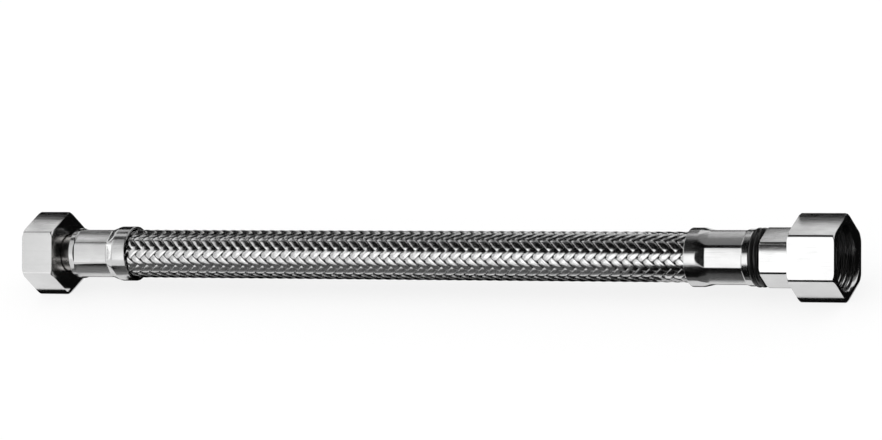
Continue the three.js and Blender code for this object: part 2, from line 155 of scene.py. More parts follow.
# %% Places along the braid, and its radius there
LEFT_BEAD, LEFT_SLOPE, LEFT_CRIMP, LEFT_BAND = 3.9 * mm, 2 * mm, 9.7 * mm, 1.6 * mm
RIGHT_BEAD, RIGHT_SLOPE, RIGHT_CRIMP, RIGHT_BAND = 3 * mm, 2.4 * mm, 9.5 * mm, 1.9 * mm
SQUEEZED = {"left": 5.15 * mm, "right": 5.65 * mm}
SLOPE_STARTS = (BEAD_LEFT - LEFT_BEAD, BEAD_RIGHT + RIGHT_BEAD)
CRIMP_STARTS = (SLOPE_STARTS[0] - LEFT_SLOPE, SLOPE_STARTS[1] + RIGHT_SLOPE)
ROWS_PER_CROSSING, HIDDEN_ROWS = 3, 13
open_length = SLOPE_STARTS[1] - SLOPE_STARTS[0]
braid_places = np.concatenate([
    np.linspace(BRAID_LOW.x, SLOPE_STARTS[0], HIDDEN_ROWS)[:-1],
    np.linspace(*SLOPE_STARTS, round(open_length / crossing * ROWS_PER_CROSSING)),
    np.linspace(SLOPE_STARTS[1], BRAID_HIGH.x, HIDDEN_ROWS)[1:]])
print(f"{len(braid_places)} rows along each strand, {open_length / mm:.1f} mm of them in the open")


def strand_middle(x):
    """The radius that a strand rises and falls about: level in the open, and squeezed under each crimp."""
    return np.interp(x, [CRIMP_STARTS[0], SLOPE_STARTS[0], SLOPE_STARTS[1], CRIMP_STARTS[1]],
                     [SQUEEZED["left"], weave_middle, weave_middle, SQUEEZED["right"]])


# %% A strand's section
WIRE_TOP, VALLEY, ARCH = WIRE / 2, WIRE / 8, 0.45 * WIRE
BACK_EDGE, BACK_MIDDLE = 0.75 * WIRE, 0.5 * WIRE


def ribbon_section():
    """Across the ribbon and out from its middle: seven wires side by side over a flat back.

    A wire is given by its top and by the valley between two wires, and the whole row is a shallow arch
    that falls with the square of the distance from its middle, so the outer wires lie lower.
    """
    corner = np.arange(2 * WIRES + 1)
    across = corner * WIRE / 2 - WIRES * WIRE / 2
    height = np.where(corner % 2 == 1, WIRE_TOP, VALLEY) - ARCH * (across / across[-1]) ** 2
    back = np.array([[across[-1], -BACK_EDGE], [0, -BACK_MIDDLE], [across[0], -BACK_EDGE]])
    return np.concatenate([np.stack([across, height], axis=1), back])


print(f"a strand is {WIRES * WIRE / mm:.2f} mm wide and has {len(ribbon_section())} corners")


# %% One set of strands
def strand_set(direction):
    """Points, faces and values of the 14 strands that turn one way, +1 or -1, as they go right.

    A strand is a helix: its angle grows evenly with its place. Its height is a cosine of the count of
    crossings passed, four to a wave, flattened at its top and bottom. The other set is half a wave behind,
    so one is up where the other is down.
    """
    section = ribbon_section()
    x = braid_places[None, :, None]
    number = np.arange(STRANDS)[:, None, None]
    start = STRIPE_BORDER - 2 * math.pi * 3.5 / CARRIERS + 2 * math.pi / STRANDS * number
    passed = 2 * number + direction * (x - BEAD_LEFT) / crossing
    wave = np.tanh(WEAVE_STEEPNESS * np.cos(math.pi / 2 * (passed - 0.5))) / math.tanh(WEAVE_STEEPNESS)
    middle = strand_middle(x)
    lift = weave_lift * np.where((x > CRIMP_STARTS[0]) & (x < CRIMP_STARTS[1]), 1, WEAVE_UNDER_CRIMP)
    width = section[:, 0] * middle / weave_middle
    place = x - direction * width * math.sin(STRAND_ANGLE)
    angle = start + direction * turn_per_metre * (x - BEAD_LEFT) + width * math.cos(STRAND_ANGLE) / middle
    radius = middle + direction * wave * lift + section[:, 1]
    place = np.clip(place, BRAID_LOW.x, BRAID_HIGH.x)
    points = np.stack([place + 0 * radius, radius * np.cos(angle), AXIS + radius * np.sin(angle)], axis=-1)
    count, steps, corners = radius.shape
    index = np.arange(count * steps * corners).reshape(count, steps, corners)
    ahead, beside = index[:, 1:], np.roll(index, -1, axis=2)
    sides = np.stack([index[:, :-1], beside[:, :-1], beside[:, 1:], ahead], axis=-1).reshape(-1, 4)
    ends = [*index[:, 0, ::-1].tolist(), *index[:, -1].tolist()]
    tone = np.random.default_rng(7 + direction).random((count, 1, corners))
    return points.reshape(-1, 3), sides.tolist() + ends, (tone + np.zeros(index.shape)).reshape(-1)


# %% Make the braid
braid = []
for name, direction in (("braid_strands_down", 1), ("braid_strands_up", -1)):
    points, faces, tone = strand_set(direction)
    braid.append(piece(name, points, faces, "hose", ["steel_braid"], "braid_wire", tone=tone))

# %% [markdown]
# ## Turned pieces
# A lathe makes a body of revolution, and a hexagon nut or a crimped ferrule is the same thing with a radius
# that also depends on the angle. So one function makes them all: a closed profile, given as corners, whose
# places and radii may be arrays over the angle. Each corner is eased by a small curve, because a real edge
# always catches a line of light, and a holding point on either side keeps the flats flat when shaded smooth.

# %% Ease the corners of a profile
LONGEST_EASE = 0.3
HOLD = 1.5
CURVE = (0, 0.25, 0.5, 0.75, 1)


def eased(corners, angles):
    """Rows (places, radii) of a closed profile with eased corners, and for each row its edge and turned values.

    A corner is (place, radius, ease, turned). An eased one becomes a quadratic curve between two points on its
    sides, each at most LONGEST_EASE of a side away, with a holding point beyond each. The value edge is 1 on the
    curve, and turned is 1 on surfaces that were cut on a lathe, and it holds from a corner to the next.
    """
    spot = np.array([[u + 0 * angles, r + 0 * angles] for u, r, _, _ in corners])
    back, ahead = np.roll(spot, 1, axis=0) - spot, np.roll(spot, -1, axis=0) - spot
    rows, edge, turned = [], [], []
    for k, (_, _, ease, kind) in enumerate(corners):
        before = corners[k - 1][3]
        if ease == 0:
            rows, edge, turned = rows + [spot[k]], edge + [0], turned + [kind]
            continue
        lengths = np.hypot(*back[k]), np.hypot(*ahead[k])
        reach = np.minimum(ease, LONGEST_EASE * np.minimum(*lengths))
        first, last = (side[k] / length * reach for side, length in zip((back, ahead), lengths))
        curve = [spot[k] + first * (1 - t) ** 2 + last * t ** 2 for t in CURVE]
        rows += [spot[k] + HOLD * first, *curve, spot[k] + HOLD * last]
        edge += [0, 0.6, 1, 1, 1, 0.6, 0]
        turned += [before] * 3 + [(before + kind) / 2] + [kind] * 3
    return np.array(rows), np.array(edge), np.array(turned)


# %% Carry a profile round the axis
def turned_piece(name, corners, angles, start, side, body, nodes, slot):
    """A closed body from a profile, measured outwards from start towards the left (-1) or the right (+1).

    A row's place runs along the axis, and its radius times the cosine and sine of the angle gives Y and Z.
    """
    rows, edge, turned = eased(corners, angles)
    place, radius = start + side * rows[:, 0], rows[:, 1]
    points = np.stack([place, radius * np.cos(angles), AXIS + radius * np.sin(angles)], axis=-1)
    index = np.arange(radius.size).reshape(radius.shape)
    below, beside = np.roll(index, -1, axis=0), np.roll(index, -1, axis=1)
    faces = np.stack([index, beside, np.roll(below, -1, axis=1), below], axis=-1).reshape(-1, 4)
    faces = faces if side > 0 else faces[:, ::-1]
    spread = np.ones(len(angles))
    return piece(name, points.reshape(-1, 3), faces, body, nodes, slot,
                 edge=np.outer(edge, spread).reshape(-1), turned=np.outer(turned, spread).reshape(-1))


ROUND = np.linspace(0, 2 * math.pi, 96, endpoint=False)

# %% [markdown]
# ## Hexagons and threads
# A hexagonal bar has a radius of half its width over flats divided by the cosine of the angle from the nearest
# flat. Its corners are drawn with a small radius, and the lathe cuts a 30 degree chamfer at each end, which
# leaves the curved edges that every nut has. The thread is a ridge whose place goes once along the pitch
# for each turn, so a function of place and angle draws it.

# %% Hexagonal bar
THIRTY = math.radians(30)
CORNER_ROUND = 0.8 * mm
LEAST_CHAMFER = 0.03 * mm
FLAT_NORMAL = THIRTY


def corner_tangent(flats):
    """The angle from a corner at which its rounding runs into the flat."""
    centre = (flats / 2 - CORNER_ROUND) / math.cos(THIRTY)
    return math.atan2(CORNER_ROUND * math.sin(THIRTY), centre + CORNER_ROUND * math.cos(THIRTY))


def hexagon_angles(flats):
    """Angles round a hexagon, close together at its corners and 3 to 4 degrees apart on its flats."""
    tangent = corner_tangent(flats)
    arc = np.linspace(-tangent, tangent, 5)
    flat = np.linspace(2.5 * tangent, 2 * THIRTY - 2.5 * tangent, 14)
    corner = np.concatenate([arc, [1.5 * tangent], flat, [2 * THIRTY - 1.5 * tangent]])
    return np.concatenate([corner + 2 * THIRTY * k for k in range(6)])


def hexagon(angles, flats):
    """The bar's radius: half the width over flats by the cosine from the flat, and a circle at the corner."""
    off = (angles - FLAT_NORMAL + THIRTY) % (2 * THIRTY) - THIRTY
    centre = (flats / 2 - CORNER_ROUND) / math.cos(THIRTY)
    side = THIRTY - np.abs(off)
    circle = centre * np.cos(side) + np.sqrt(np.maximum(CORNER_ROUND ** 2 - (centre * np.sin(side)) ** 2, 0))
    return np.where(side < corner_tangent(flats), circle, flats / 2 / np.cos(off))


def chamfered(angles, flats, ease):
    """Radius of the end face, depth of the chamfer and radius of the bar at each angle.

    The depth is the fall from bar to face times the tangent of 30 degrees.
    """
    bar = hexagon(angles, flats)
    face = np.minimum(bar.max() - ease, bar - LEAST_CHAMFER)
    return face, (bar - face) * math.tan(THIRTY), bar


# %% Thread
THREAD_PITCH = 1.337 * mm
THREAD_CORE, THREAD_MAJOR = 14.95 / 2 * mm, 16.66 / 2 * mm
ROWS_PER_PITCH = 10
RUN_OUT = 0.25


def thread_rows(angles, mouth, bottom, start, side):
    """Rows from the mouth to the undercut: a right-handed groove with rounded crest and root.

    The place in turns less the angle in turns gives a saw tooth along the thread, its distance from one half
    is a wedge, and 3 w^2 - 2 w^3 rounds the wedge. It fades in at the mouth and out at the bottom.
    """
    rows = []
    count = round((mouth - bottom) / THREAD_PITCH * ROWS_PER_PITCH)
    for u in np.linspace(mouth, bottom, count):
        turn = (start + side * u) / THREAD_PITCH - angles / (2 * math.pi)
        wedge = np.abs(2 * (turn % 1) - 1)
        wedge = wedge * wedge * (3 - 2 * wedge)
        fade = min(1, (mouth - u) / THREAD_PITCH, (u - bottom) / THREAD_PITCH / RUN_OUT)
        rows.append((u, THREAD_CORE + (THREAD_MAJOR - THREAD_CORE) * wedge * fade, 0, 1))
    return rows


# %% [markdown]
# ## Union nuts
# Each nut is cut from hexagonal bar, bored from the mouth, threaded G 3/8 and left with an end wall that pulls
# on the flange of its nipple. The left one is short, and the right one is a third longer.

# %% Make the nuts
NUT_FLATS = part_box("left_nut")[1].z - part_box("left_nut")[0].z
NUT_EASE = 0.5 * mm
NUT_WALL = 2.5 * mm
NUT_UNDERCUT = 1.2 * mm
MOUTH_CHAMFER = 0.9 * mm
EDGE = 0.16 * mm


def union_nut(name, node, body, side, hole):
    """A nut from the wall on the hose side (place 0) to its mouth."""
    low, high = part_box(node)
    length = high.x - low.x
    start = low.x if side > 0 else high.x
    angles = hexagon_angles(NUT_FLATS)
    face, depth, bar = chamfered(angles, NUT_FLATS, NUT_EASE)
    mouth, bottom = length - MOUTH_CHAMFER, NUT_WALL + NUT_UNDERCUT
    corners = [
        (0, hole, EDGE, 1), (0, face, EDGE, 1), (depth, bar, EDGE, 0), (length - depth, bar, EDGE, 1),
        (length, face, EDGE, 1), (length, THREAD_CORE + MOUTH_CHAMFER, EDGE, 1),
        *thread_rows(angles, mouth, bottom, start, side),
        (bottom, THREAD_MAJOR, 0, 1), (NUT_WALL, THREAD_MAJOR, EDGE, 1), (NUT_WALL, hole, EDGE, 1)]
    return turned_piece(name, corners, angles, start, side, body, [node], "nut_plating")


LEFT_NECK = 4.8 * mm
SPIGOT = 5.2 * mm
RUNNING_GAP = 0.3 * mm
nuts = [union_nut("union_nut_left", "left_nut", "left_nut", -1, LEFT_NECK + RUNNING_GAP),
        union_nut("union_nut_right", "right_nut", "right_nut", 1, SPIGOT + RUNNING_GAP)]

# %% [markdown]
# ## Crimped ferrules
# A ferrule is a thin stainless sleeve. Eight jaws close on its middle and press eight flats into it, with a
# narrow rounded ridge left between two jaws, and the open end stays round as a bead. The honest way to draw it
# is the way it is made: start from the round sleeve, and take the smaller of its radius and that of the jaws.
# A jaw is a plane that slopes back at the bead, and this gives the lens-shaped end of each flat by itself.

# %% Jaws and their flats
CRIMP_SIDES = 8
CRIMP_NORMAL = math.radians(150)
RIDGE_RISE = 1.05
SLEEVE_WALL = 0.6 * mm
SLEEVE_EASE = 0.3 * mm
LIP = 1 * mm
BLEND = 0.05 * mm
JAW_HOLLOW = 25 * mm
JAW_END_SLOPE = 1.2


def crimp_angles():
    """Angles round the ferrule, close together at the eight ridges."""
    step = 2 * math.pi / CRIMP_SIDES
    near = np.radians([-7, -6, -5, -4.2, -3, 0, 3, 4.2, 5, 6, 7])
    flat_edge = math.radians(9)
    flat = np.linspace(flat_edge, step - flat_edge, 9)
    sector = np.concatenate([near, flat])
    return np.concatenate([sector + CRIMP_NORMAL + step * (k + 0.5) for k in range(CRIMP_SIDES)])


def smaller(a, b):
    """The smaller of two radii, blended over a short band so that the edge between them is soft."""
    near = np.clip(0.5 + 0.5 * (b - a) / BLEND, 0, 1)
    return b * (1 - near) + a * near - BLEND * near * (1 - near)


def jaw_radius(depth, off):
    """The radius that a jaw leaves: a flat at that depth, crowned a little because the jaw's face is hollow."""
    return depth / np.cos(off) - (depth * np.tan(off)) ** 2 / (2 * JAW_HOLLOW)


def ferrule_places(crimp_start, crimp_end, end):
    """Places of the rows: close together on the bead and slope, few on the crimp, close on the end band."""
    return np.concatenate([
        np.linspace(0.6 * mm, crimp_start + 0.4 * mm, 26),
        np.linspace(crimp_start + 1.2 * mm, crimp_end - 0.5 * mm, 9),
        np.linspace(crimp_end - 0.25 * mm, end - 0.5 * mm, 16)])


# %% Make the ferrules
def ferrule(name, node, side, flat, lengths, hole):
    """A sleeve from its bead (place 0) to the lip round the nipple. lengths are bead, slope, crimp and end band.

    The sleeve's radius falls in a straight line from the bead to the ridges. The jaws' depth is that of the
    flats along the crimp and grows in a straight line beyond both of its ends.
    """
    low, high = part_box(node)
    start = low.x if side > 0 else high.x
    bead_radius = (high.z - low.z) / 2
    bead, crimp_start, crimp_end, end = np.cumsum(lengths)
    ridge = flat * RIDGE_RISE
    angles = crimp_angles()
    step = 2 * math.pi / CRIMP_SIDES
    off = (angles - CRIMP_NORMAL + step / 2) % step - step / 2
    rows = []
    for u in ferrule_places(crimp_start, crimp_end, end):
        sleeve = np.interp(u, [bead, crimp_start], [bead_radius, ridge])
        lead_in = max(crimp_start - u, 0) * (bead_radius - flat) / (crimp_start - bead)
        lead_out = max(u - crimp_end, 0) * JAW_END_SLOPE
        rows.append((u, smaller(sleeve + 0 * off, jaw_radius(flat + lead_in + lead_out, off)), 0, 0))
    bore = flat - SLEEVE_WALL
    corners = [
        (0, bead_radius - SLEEVE_WALL, EDGE, 0), (0, bead_radius, SLEEVE_EASE, 0), *rows,
        (end, ridge, SLEEVE_EASE, 0), (end, hole, EDGE, 0), (end - LIP, hole, EDGE, 0), (end - LIP, bore, EDGE, 0),
        (crimp_start, bore, EDGE, 0), (bead, bead_radius - SLEEVE_WALL, EDGE, 0)]
    return turned_piece(name, corners, angles, start, side, "hose", [node], "ferrule_steel")


JOURNAL = 3.9 * mm
ferrules = [
    ferrule("ferrule_left", "left_ferrule", -1, 6.2 * mm, (LEFT_BEAD, LEFT_SLOPE, LEFT_CRIMP, LEFT_BAND),
            LEFT_NECK + RUNNING_GAP),
    ferrule("ferrule_right", "right_ferrule", 1, 6.7 * mm, (RIGHT_BEAD, RIGHT_SLOPE, RIGHT_CRIMP, RIGHT_BAND),
            JOURNAL + RUNNING_GAP)]

# %% [markdown]
# ## Collar, ring, nipples, washers and hose
# Behind the right nut a small hexagon holds the swivel together, and a black plastic ring fills the joint
# between it and the ferrule. The nipples and washers are mostly hidden, but a neck shows behind the left nut,
# and both mouths show a washer and the bore behind it. They are turned in the same way.

# %% Make the collar
COLLAR_EASE = 0.35 * mm
COLLAR_LIP = 1.2 * mm
COLLAR_BORE = SPIGOT + 0.1 * mm
collar_low, collar_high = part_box("hex_collar")
COLLAR_FLATS = collar_high.z - collar_low.z
collar_angles = hexagon_angles(COLLAR_FLATS)
collar_face, collar_depth, collar_bar = chamfered(collar_angles, COLLAR_FLATS, COLLAR_EASE)
collar_length = collar_high.x - collar_low.x
collar = turned_piece("swivel_collar", [
    (0, JOURNAL + RUNNING_GAP, EDGE, 1), (0, collar_face, EDGE, 1), (collar_depth, collar_bar, EDGE, 0),
    (collar_length - collar_depth, collar_bar, EDGE, 1), (collar_length, collar_face, EDGE, 1),
    (collar_length, COLLAR_BORE, EDGE, 1), (COLLAR_LIP, COLLAR_BORE, EDGE, 1),
    (COLLAR_LIP, JOURNAL + RUNNING_GAP, EDGE, 1)],
    collar_angles, collar_low.x, 1, "swivel", ["hex_collar"], "nut_plating")

# %% Make the ring
# Its outside is two rounded beads side by side: along an arc of 140 degrees, the place follows the cosine of the
# turn and the radius follows its sine.
RING_BEAD_HEIGHT = 0.6 * mm
ring_low, ring_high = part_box("swivel_ring")
ring_width, ring_radius = ring_high.x - ring_low.x, (ring_high.z - ring_low.z) / 2
bead_turns = np.linspace(math.radians(20), math.radians(160), 9)
bead_rows = [(ring_width * (k + 0.5 - 0.5 * math.cos(t) / math.cos(bead_turns[0])) / 2,
              ring_radius + (math.sin(t) - 1) * RING_BEAD_HEIGHT, 0, 0) for k in (0, 1) for t in bead_turns]
ring = turned_piece("black_ring", [
    (0, JOURNAL + RUNNING_GAP, EDGE, 1), *bead_rows, (ring_width, JOURNAL + RUNNING_GAP, EDGE, 1)],
    ROUND, ring_low.x, 1, "hose", ["swivel_ring"], "ring_plastic")

# %% Make the nipples
WATER = 3 * mm
BARB_ROOT, BARB_TOP = 3.45 * mm, 3.7 * mm
BARBS = 4
BARB_EASE = 0.05 * mm
BARB_TIP, BARB_FOOT = 0.75, 0.8
FLANGE = 2 * mm
SEAT_BORE, SEAT_STEP = 4.4 * mm, 4.2 * mm

left_low, left_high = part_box("left_nipple")
left_length = left_high.x - left_low.x
left_flange = (left_high.z - left_low.z) / 2
lip_place = left_high.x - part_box("left_ferrule")[0].x - LIP
barb_step = (lip_place - RUNNING_GAP) / BARBS
barbs = [corner for k in range(BARBS) for corner in (
    (k * barb_step, BARB_ROOT, BARB_EASE, 1), ((k + BARB_TIP) * barb_step, BARB_TOP, BARB_EASE, 1),
    ((k + BARB_FOOT) * barb_step, BARB_ROOT, BARB_EASE, 1))]
left_nipple = turned_piece("barbed_nipple", [
    (0, WATER, EDGE, 1), *barbs, (lip_place, BARB_ROOT, EDGE, 1), (lip_place, LEFT_NECK, EDGE, 1),
    (left_length - FLANGE, LEFT_NECK, EDGE, 1), (left_length - FLANGE, left_flange, EDGE, 1),
    (left_length, left_flange, EDGE, 1), (left_length, WATER, EDGE, 1)],
    ROUND, left_high.x, -1, "hose", ["left_nipple"], "nipple_brass")

seat_low, seat_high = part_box("seat_nipple")
seat_length = seat_high.x - seat_low.x
seat = turned_piece("flanged_seat", [
    (0, SEAT_BORE, EDGE, 1), (0, SPIGOT, EDGE, 1), (seat_length - FLANGE, SPIGOT, EDGE, 1),
    (seat_length - FLANGE, left_flange, EDGE, 1), (seat_length, left_flange, EDGE, 1),
    (seat_length, WATER, EDGE, 1), (SEAT_STEP, WATER, EDGE, 1), (SEAT_STEP, SEAT_BORE, EDGE, 1)],
    ROUND, seat_low.x, 1, "swivel", ["seat_nipple"], "nipple_brass")

# %% Make the washers
WASHER_BORE = 3.5 * mm
WASHER_EASE = 0.3 * mm


def washer(name, node, body):
    """A flat ring of rubber with softly rounded edges: a rectangle carried round the axis."""
    low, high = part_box(node)
    width, radius = high.x - low.x, (high.z - low.z) / 2
    corners = [(u, r, WASHER_EASE, 0) for u, r in (
        (0, WASHER_BORE), (0, radius), (width, radius), (width, WASHER_BORE))]
    return turned_piece(name, corners, ROUND, low.x, 1, body, [node], "washer_rubber")


washers = [washer("seal_washer_left", "left_washer", "hose"), washer("seal_washer_right", "right_washer", "swivel")]

# %% Make the rubber hose
HOSE_BORE = 4 * mm
CRIMPED_LEFT, OPEN, CRIMPED_RIGHT = 4.7 * mm, HOSE_RADIUS - 0.02 * mm, 5.2 * mm
hose_low, hose_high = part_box("inner_hose")
hose_corners = [
    (hose_low.x, HOSE_BORE), (hose_low.x, CRIMPED_LEFT), (CRIMP_STARTS[0], CRIMPED_LEFT), (SLOPE_STARTS[0], OPEN),
    (SLOPE_STARTS[1], OPEN), (CRIMP_STARTS[1], CRIMPED_RIGHT), (hose_high.x, CRIMPED_RIGHT), (hose_high.x, HOSE_BORE)]
tube = turned_piece("rubber_tube", [(x - hose_low.x, r, EDGE, 0) for x, r in hose_corners],
                    ROUND, hose_low.x, 1, "hose", ["inner_hose"], "hose_rubber")

# %% [markdown]
# ## A small language for finishes
# Finishes are node trees, and trees built call by call are hard to read. Here one class wraps an output socket
# and lets it be added, multiplied and subtracted like a number, and one method makes any other node from
# its type, its settings and the values or links of its inputs. A finish then reads like a formula.

# %% Wrap sockets and trees
class Wire:
    """An output socket. Arithmetic with numbers and other wires adds Math nodes and gives a new wire."""

    def __init__(self, finish, socket):
        self.finish, self.socket = finish, socket

    def maths(self, operation, *values):
        """One Math node that works on numbers or wires."""
        return self.finish.node("ShaderNodeMath", {"operation": operation}, dict(enumerate(values)))

    def __add__(self, other):
        return self.maths("ADD", self, other)

    def __sub__(self, other):
        return self.maths("SUBTRACT", self, other)

    def __rsub__(self, other):
        return self.maths("SUBTRACT", other, self)

    def __mul__(self, other):
        return self.maths("MULTIPLY", self, other)

    __radd__, __rmul__ = __add__, __mul__

    def clipped(self, low, high):
        """This value brought from the range low to high onto 0 to 1."""
        return self.finish.node("ShaderNodeMapRange", {}, {"Value": self, "From Min": low, "From Max": high})


class Finish:
    """A material and its nodes."""

    def __init__(self, name):
        self.material = bpy.data.materials.new(name)
        self.material.use_nodes = True
        self.tree = self.material.node_tree
        self.tree.nodes.clear()

    def node(self, kind, settings, inputs, output=0):
        """Adds a node, makes its settings, then its inputs by name or number, and gives one output as a wire."""
        node = self.tree.nodes.new(kind)
        for key, value in settings.items():
            setattr(node, key, value)
        for key, value in inputs.items():
            if isinstance(value, Wire):
                self.tree.links.new(value.socket, node.inputs[key])
            else:
                node.inputs[key].default_value = value
        return Wire(self, node.outputs[output]) if len(node.outputs) else None

    def place(self, x, y, z):
        """Object coordinates stretched by three numbers of waves per metre."""
        spot = self.node("ShaderNodeTexCoord", {}, {}, "Object")
        return self.node("ShaderNodeVectorMath", {"operation": "MULTIPLY"}, {0: spot, 1: (x, y, z)})

    def noise(self, where, detail=2):
        """Soft random values between 0 and 1, one wave to each unit of the place."""
        return self.node("ShaderNodeTexNoise", {}, {"Vector": where, "Scale": 1, "Detail": detail})

    def value(self, title):
        """A number that was stored with the points of the piece."""
        return self.node("ShaderNodeAttribute", {"attribute_name": title}, {}, "Fac")

    def mix(self, amount, first, second):
        """A colour between two others."""
        return self.node("ShaderNodeMix", {"data_type": "RGBA"}, {0: amount, 6: first, 7: second}, 2)

    def bump(self, height, strength, distance):
        """A normal tilted by a height from 0 to 1 times the distance."""
        return self.node("ShaderNodeBump", {}, {"Height": height, "Strength": strength, "Distance": distance})

    def surface(self, inputs):
        """Closes the tree with a Principled shader."""
        shader = self.node("ShaderNodeBsdfPrincipled", {}, inputs)
        self.node("ShaderNodeOutputMaterial", {}, {"Surface": shader})
        return self.material

    def rings(self, across):
        """Fine rings round the hose axis: noise read by the distance from it alone."""
        spot = self.node("ShaderNodeTexCoord", {}, {}, "Object")
        flat = self.node("ShaderNodeVectorMath", {"operation": "MULTIPLY"}, {0: spot, 1: (0, 1, 1)})
        centred = self.node("ShaderNodeVectorMath", {"operation": "SUBTRACT"}, {0: flat, 1: (0, 0, AXIS)})
        radius = self.node("ShaderNodeVectorMath", {"operation": "LENGTH"}, {0: centred}, "Value")
        return self.noise(self.node("ShaderNodeCombineXYZ", {}, {"X": radius * across}))


def grey(level, warmth=0.0):
    """A grey, or with warmth a faintly yellow one."""
    return (level, level * (1 - warmth / 2), level * (1 - warmth), 1)


# %% [markdown]
# ## Metal finishes
# Bright plated bar shows fine lines drawn along it, rings on every face that a lathe has cut, and polished
# edges where plating and handling have smoothed it. These are changes of roughness and height, and hardly of
# colour, because a metal's colour is what it reflects.

# %% Bar, sheet and turned metal
DULL_SHARE, DULL_LEVEL = 0.32, 0.72
MARK_HEIGHT = 0.012 * mm


def bright_metal(name, level, rough, lines, warmth=0.0):
    """Plated or stainless metal: lines along the hose, rings on turned faces, and smoother edges.

    The marks are rings where turned is 1 and drawn lines where it is 0. Together with larger patches they darken
    the metal by less than a tenth and add up to 0.14 to its roughness, less on an edge. Broad waves bend the
    reflections in the surfaces that weren't turned.
    """
    f = Finish(name)
    drawn = f.noise(f.place(120, lines, lines), 3)
    rings = f.rings(lines)
    turned = f.value("turned")
    edge = f.value("edge")
    marks = rings * turned + drawn * (1 - turned)
    waves = f.noise(f.place(25, 1300, 1300), 1) * (1 - turned)
    patches = f.noise(f.place(160, 220, 220), 3).clipped(0.35, 0.65)
    shade = (marks.clipped(0.35, 0.7) * 0.35 + patches * 0.65) * (1 - edge)
    return f.surface({
        "Base Color": f.mix(shade * DULL_SHARE, grey(level, warmth), grey(level * DULL_LEVEL, warmth)),
        "Metallic": 1,
        "Roughness": (marks.clipped(0.3, 0.7) * 0.6 + patches * 0.4) * (1 - edge * 0.6) * 0.14 + rough,
        "Normal": f.bump(marks * 0.2 + waves, 1, MARK_HEIGHT)})


# %% Put the metals on
nut_plating = bright_metal("nut_plating_bright", 0.7, 0.1, 9000)
ferrule_steel = bright_metal("ferrule_steel_drawn", 0.62, 0.13, 7000)
nipple_plating = bright_metal("nipple_plating_satin", 0.62, 0.2, 8000, warmth=0.06)
for made in (*nuts, collar):
    made.data.materials.append(nut_plating)
for made in ferrules:
    made.data.materials.append(ferrule_steel)
for made in (left_nipple, seat):
    made.data.materials.append(nipple_plating)
print("metals:", nut_plating.name, ferrule_steel.name, nipple_plating.name)

# %% [markdown]
# ## Braid wire
# Stainless wire comes bright from the die, and every wire lies at its own small angle, so neighbouring wires
# differ in tone. Each line of points along a strand carries a random value for this, and a fine noise breaks
# up its length.

# %% Wire finish
def wire_finish():
    """Bright wire: six tenths of its tone come from the wire itself and four tenths from fine scuffs."""
    f = Finish("braid_wire_bright")
    tone = f.value("tone")
    scuffs = f.noise(f.place(2500, 2500, 2500), 3)
    mixed = tone * 0.6 + scuffs.clipped(0.3, 0.7) * 0.4
    return f.surface({
        "Base Color": f.mix(mixed, grey(0.82), grey(0.5)),
        "Metallic": 1,
        "Roughness": mixed * 0.12 + 0.13,
        "Normal": f.bump(scuffs, 0.2, 0.01 * mm)})


braid_wire = wire_finish()
for made in braid:
    made.data.materials.append(braid_wire)
print("wire:", braid_wire.name, "with", len(braid_wire.node_tree.nodes), "nodes")

# %% [markdown]
# ## Rubber and plastic
# The washers and the hose are matt black rubber with a dusty bloom, and the ring is moulded plastic with
# a fine sparked grain and a soft shine.

# %% Rubber and plastic finishes
def black_finish(name, level, rough, grain, shine):
    """A black that is never quite even: soft blotches, fine grain and a dull shine."""
    f = Finish(name)
    blotch = f.noise(f.place(400, 400, 400), 4)
    grains = f.noise(f.place(grain, grain, grain), 2)
    return f.surface({
        "Base Color": f.mix(blotch.clipped(0.35, 0.7), grey(level), grey(level * 2.2)),
        "Specular IOR Level": shine,
        "Roughness": blotch.clipped(0.3, 0.7) * 0.12 + grains.clipped(0.3, 0.7) * 0.08 + rough,
        "Normal": f.bump(grains, 0.3, 0.02 * mm)})


# %% Put the rubber and the plastic on
washer_rubber = black_finish("washer_rubber_matt", 0.03, 0.6, 9000, 0.3)
hose_rubber = black_finish("hose_rubber_matt", 0.02, 0.65, 6000, 0.25)
ring_plastic = black_finish("ring_plastic_moulded", 0.004, 0.2, 12000, 0.35)
tube.data.materials.append(hose_rubber)
ring.data.materials.append(ring_plastic)
for made in washers:
    made.data.materials.append(washer_rubber)
print("blacks:", washer_rubber.name, hose_rubber.name, ring_plastic.name)

# %% [markdown]
# ## Solids that stay
# The right nipple and the two sealing rings lie inside the swivel. Their solids are good enough there, so they
# only take the finishes made above.

# %% Finish the solids that stay
def repaint(node, material):
    """Puts one finish in every material slot of a solid."""
    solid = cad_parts[node]
    for held in solid.material_slots:
        held.material = material
    if not solid.material_slots:
        solid.data.materials.append(material)
    print(f"{node} takes {material.name}")


repaint("right_nipple", nipple_plating)
for node in ("swivel_seal_1", "swivel_seal_2"):
    repaint(node, washer_rubber)

# %% [markdown]
# ## Floor and background
# The room is plain white, and the floor keeps a soft shadow of the hose. White paint alone would never look as
# white as the room, because it only gives back a part of the light. So most of what the camera and reflections
# see of the floor is a plain white glow, and a small share is the paint with its shadow. All other light meets
# the paint alone.

# %% Floor paint
PAINT_SHARE = 0.22
FLOOR_GREY, FLOOR_GLOW = 0.95, 1.02


